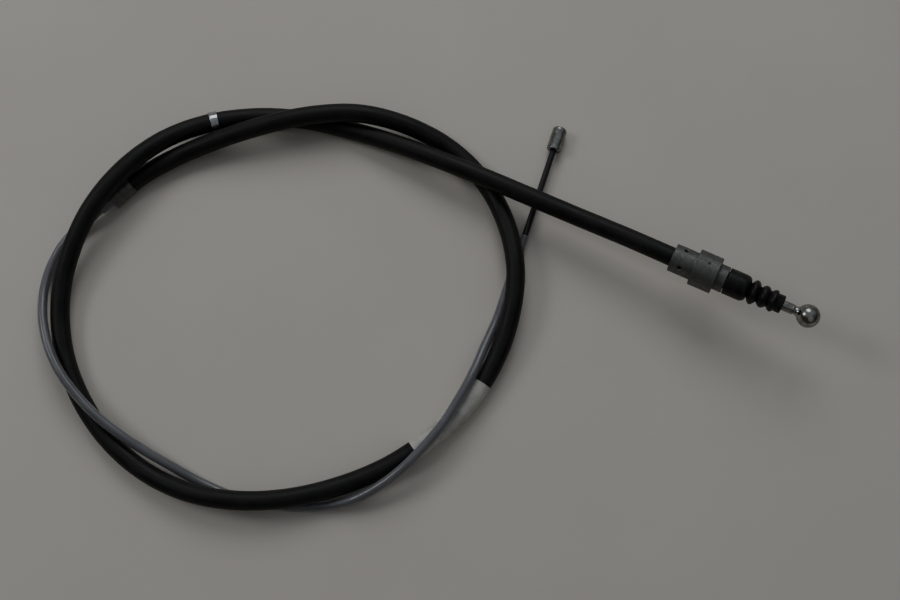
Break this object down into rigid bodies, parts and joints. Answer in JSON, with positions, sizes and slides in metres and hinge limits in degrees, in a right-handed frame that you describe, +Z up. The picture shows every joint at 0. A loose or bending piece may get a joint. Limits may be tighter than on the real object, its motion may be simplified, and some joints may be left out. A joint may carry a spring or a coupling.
{
  "type": "parking brake cable",
  "caption": "Parking brake cable laid in a loop: sleeved conduit with a stepped ferrule, bellows boot and ball end, then a thin guide tube and a wire with a barrel nipple.",
  "frame": {"origin": "on the floor, under the middle of the laid cable's outline", "axes": "+X towards the ball end, +Y across the loop, away from the viewer of the picture, +Z up"},
  "size_m": [0.4394, 0.2364, 0.0421],
  "materials": {
    "zinc_plate": "bright zinc plate",
    "cast_metal": "matte, mottled",
    "wire": "stranded wire",
    "rubber": "satin",
    "black_plastic": "satin",
    "grey_plastic": "smooth, bluish grey",
    "paper": "matte"
  },
  "bodies": {
    "conduit": {"boot": "rubber", "rear_ferrule": "cast_metal", "rear_guide_bush": "grey_plastic", "rubber_sleeve": "rubber", "conduit_jacket": "black_plastic", "conduit_spiral": "wire", "conduit_liner": "grey_plastic", "conduit_strand": "wire", "steel_band": "zinc_plate", "paper_label": "paper", "mid_cap": "cast_metal", "mid_washer": "grey_plastic", "mid_nozzle": "grey_plastic", "guide_tube": "grey_plastic", "guided_coat": "black_plastic", "guided_strand": "wire", "guide_tube_tip": "grey_plastic"},
    "ball": {"ball_end": "zinc_plate", "rear_strand": "wire"},
    "barrel": {"barrel_nipple": "zinc_plate", "front_coat": "black_plastic", "front_strand": "wire"}
  },
  "joints": [
    {"name": "rear_pull", "type": "slide", "parent": "conduit", "child": "ball", "axis": [-0.8896, 0.443, -0.1113], "range_m": [0, 0.008], "deforming": ["boot"]},
    {"name": "front_pull", "type": "slide", "parent": "conduit", "child": "barrel", "axis": [0.3171, 0.9482, 0.017], "range_m": [0, 0.008]}
  ],
  "couplings": [
    {"joint": "front_pull", "follows": "rear_pull", "ratio": 1}
  ]
}
